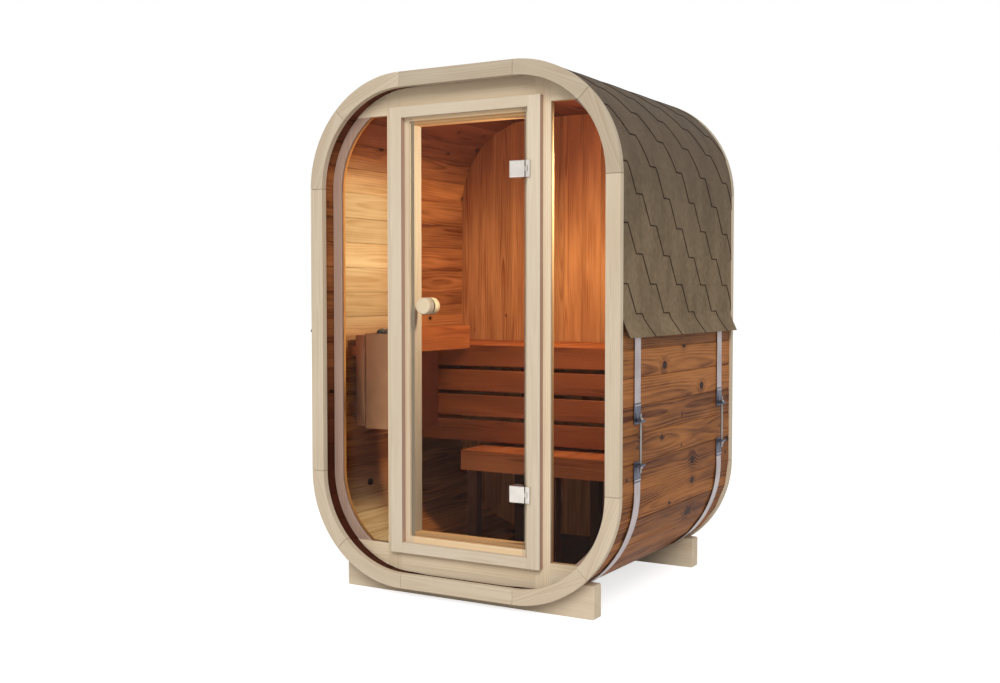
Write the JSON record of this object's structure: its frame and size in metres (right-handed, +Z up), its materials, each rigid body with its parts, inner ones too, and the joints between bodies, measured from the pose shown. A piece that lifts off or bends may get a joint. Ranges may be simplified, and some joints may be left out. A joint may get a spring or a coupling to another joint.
{
  "type": "barrel sauna",
  "caption": "Two-person barrel sauna with a rounded-square stave shell, glass door and front windows, benches, wall heater and shingled roof.",
  "frame": {"origin": "on the ground, in the middle of the footprint", "axes": "+X to the right of the front, +Y from front to back, +Z up"},
  "size_m": [1.48, 1.22, 2.114],
  "materials": {
    "ring_wood": "planed pale spruce, lightly oiled",
    "stave_wood": "heat-treated staves, planed, with small knots",
    "wall_wood": "planed pale boards of the front wall and its frames",
    "casing_wood": "planed pale casing round the door",
    "inner_wood": "warm brown upright boards of the back wall",
    "bench_wood": "smooth bench slats",
    "beam_wood": "sawn pale foot beams with planed edges",
    "knob_wood": "turned pale knob",
    "roof_shingle": "mineral-faced bitumen shingles, rough",
    "door_glass": "clear toughened glass, 8 mm",
    "window_glass": "clear glass",
    "hinge_metal": "satin hinge plates",
    "strap_steel": "bright steel band",
    "lock_steel": "dark zinc-plated tension lock",
    "heater_steel": "brushed stainless casing",
    "heater_stone": "rough grey-brown stones"
  },
  "bodies": {
    "cabin": {"front_ring_straights": "ring_wood", "front_ring_arcs": "ring_wood", "rear_ring_straights": "ring_wood", "rear_ring_arcs": "ring_wood", "shell_left": "stave_wood", "shell_right": "stave_wood", "shell_floor": "stave_wood", "shell_roof_deck": "stave_wood", "shell_corner_upper_right": "stave_wood", "shell_corner_upper_left": "stave_wood", "shell_corner_lower_left": "stave_wood", "shell_corner_lower_right": "stave_wood", "front_beam": "beam_wood", "rear_beam": "beam_wood", "front_header": "wall_wood", "front_base": "wall_wood", "front_posts": "wall_wood", "front_corner_boards": "wall_wood", "window_frames": "wall_wood", "window_panes": "window_glass", "door_casing_sides": "casing_wood", "door_casing_rails": "casing_wood", "door_jamb_sides": "wall_wood", "door_jamb_rails": "wall_wood", "door_hinge_leaves": "hinge_metal", "back_wall": "inner_wood", "upper_bench_slats": "bench_wood", "upper_bench_bearers": "bench_wood", "bench_screen_slats": "bench_wood", "bench_screen_battens": "bench_wood", "lower_bench_slats": "bench_wood", "lower_bench_fascia": "bench_wood", "lower_bench_bearers": "bench_wood", "lower_bench_legs": "bench_wood", "heater_body": "heater_steel", "heater_bracket": "heater_steel", "heater_stones": "heater_stone", "heater_guard_rail": "bench_wood", "roof_cover": "roof_shingle", "roof_edges": "roof_shingle", "front_strap": "strap_steel", "rear_strap": "strap_steel", "strap_lock_plates": "lock_steel", "strap_lock_bolts": "lock_steel"},
    "door": {"door_glass": "door_glass", "door_hinge_clamps": "hinge_metal", "door_knob_outer": "knob_wood", "door_knob_inner": "knob_wood"}
  },
  "joints": [
    {"name": "door_hinge", "type": "hinge", "parent": "cabin", "child": "door", "pos_m": [0.292, -0.5545, 1.0795], "axis": [0, 0, 1], "range_deg": [0, 105]}
  ]
}
